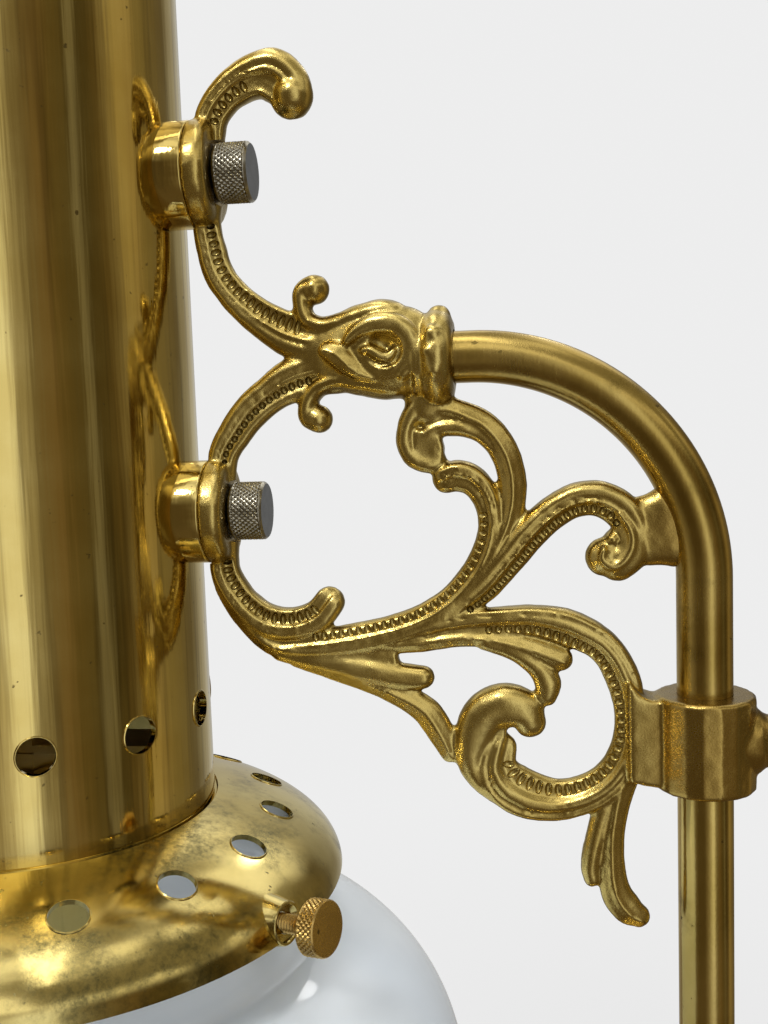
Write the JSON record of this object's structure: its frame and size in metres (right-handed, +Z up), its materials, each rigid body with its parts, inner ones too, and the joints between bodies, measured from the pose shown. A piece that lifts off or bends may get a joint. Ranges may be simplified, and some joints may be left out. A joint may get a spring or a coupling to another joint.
{
  "type": "student lamp",
  "caption": "Electrified brass student table lamp: a cast scroll bracket swivels on a weighted post and holds a vented cylinder over an opal glass shade.",
  "frame": {"origin": "middle of the base's underside, on the post's axis", "axes": "+Z up along the post, the lamp head towards -X, the picture looks along +Y"},
  "size_m": [0.3661, 0.2096, 0.5955],
  "materials": {
    "polished_brass": "polished",
    "tarnished_brass": "polished, with dark green tarnish",
    "cast_brass": "cast, satin",
    "plain_brass": "satin",
    "nickel_steel": "knurled, dulled plating",
    "plain_steel": "satin",
    "opal_glass": "glossy opal",
    "bulb_glass": "clear",
    "porcelain": "glazed",
    "dark_plastic": "satin",
    "iron": "as cast",
    "felt": "felt"
  },
  "bodies": {
    "stand": {"base_felt": "felt", "base_weight": "iron", "base_cover": "polished_brass", "post": "polished_brass", "post_ferrule": "polished_brass", "post_washer": "plain_steel", "post_nut": "plain_steel"},
    "arm": {"arm_tube": "cast_brass", "swivel_spigot": "plain_steel", "scroll_bracket": "cast_brass", "upper_boss": "polished_brass", "lower_boss": "polished_brass", "upper_inner_nut": "plain_steel", "lower_inner_nut": "plain_steel", "lamp_cylinder": "polished_brass", "cylinder_cap": "polished_brass", "cap_finial": "polished_brass", "cap_nut": "plain_steel", "shade_holder": "tarnished_brass", "glass_shade": "opal_glass", "socket_bar": "plain_brass", "bar_rivets": "plain_brass", "nipple": "plain_brass", "nipple_nuts": "plain_brass", "lampholder_cap": "polished_brass", "lampholder_shell": "polished_brass", "lampholder_core": "porcelain", "lampholder_contact": "plain_brass", "bulb_cap": "plain_brass", "bulb_glass": "bulb_glass", "bulb_stem": "bulb_glass", "bulb_filament": "plain_steel", "inlet_bush": "dark_plastic", "inlet_nut": "dark_plastic"},
    "clamp": {"clamp_screw": "nickel_steel"},
    "upper_screw": {"upper_bracket_screw": "nickel_steel"},
    "lower_screw": {"lower_bracket_screw": "nickel_steel"},
    "first_shade_screw": {"shade_screw_1": "tarnished_brass"},
    "second_shade_screw": {"shade_screw_2": "tarnished_brass"},
    "third_shade_screw": {"shade_screw_3": "tarnished_brass"},
    "switch": {"switch_key": "dark_plastic"}
  },
  "joints": [
    {"name": "arm_swivel", "type": "hinge", "parent": "stand", "child": "arm", "pos_m": [0, 0, 0.35], "axis": [0, 0, 1], "range_deg": [-170, 170]},
    {"name": "clamp_turn", "type": "hinge", "parent": "arm", "child": "clamp", "pos_m": [0.02, 0, 0.34625], "axis": [1, 0, 0], "continuous": true},
    {"name": "upper_screw_turn", "type": "hinge", "parent": "arm", "child": "upper_screw", "pos_m": [-0.105, 0, 0.4775], "axis": [1, 0, 0], "continuous": true},
    {"name": "lower_screw_turn", "type": "hinge", "parent": "arm", "child": "lower_screw", "pos_m": [-0.105, 0, 0.4005], "axis": [1, 0, 0], "continuous": true},
    {"name": "first_shade_screw_turn", "type": "hinge", "parent": "arm", "child": "first_shade_screw", "pos_m": [-0.09231, -0.02856, 0.314], "axis": [0.9204, -0.3812, 0.0872], "continuous": true},
    {"name": "second_shade_screw_turn", "type": "hinge", "parent": "arm", "child": "second_shade_screw", "pos_m": [-0.17099, 0.07398, 0.314], "axis": [-0.13, 0.9877, 0.0872], "continuous": true},
    {"name": "third_shade_screw_turn", "type": "hinge", "parent": "arm", "child": "third_shade_screw", "pos_m": [-0.22045, -0.04543, 0.314], "axis": [-0.7903, -0.6064, 0.0872], "continuous": true},
    {"name": "switch_turn", "type": "hinge", "parent": "arm", "child": "switch", "pos_m": [-0.16125, -0.021, 0.324], "axis": [0, -1, 0], "range_deg": [0, 90]}
  ]
}
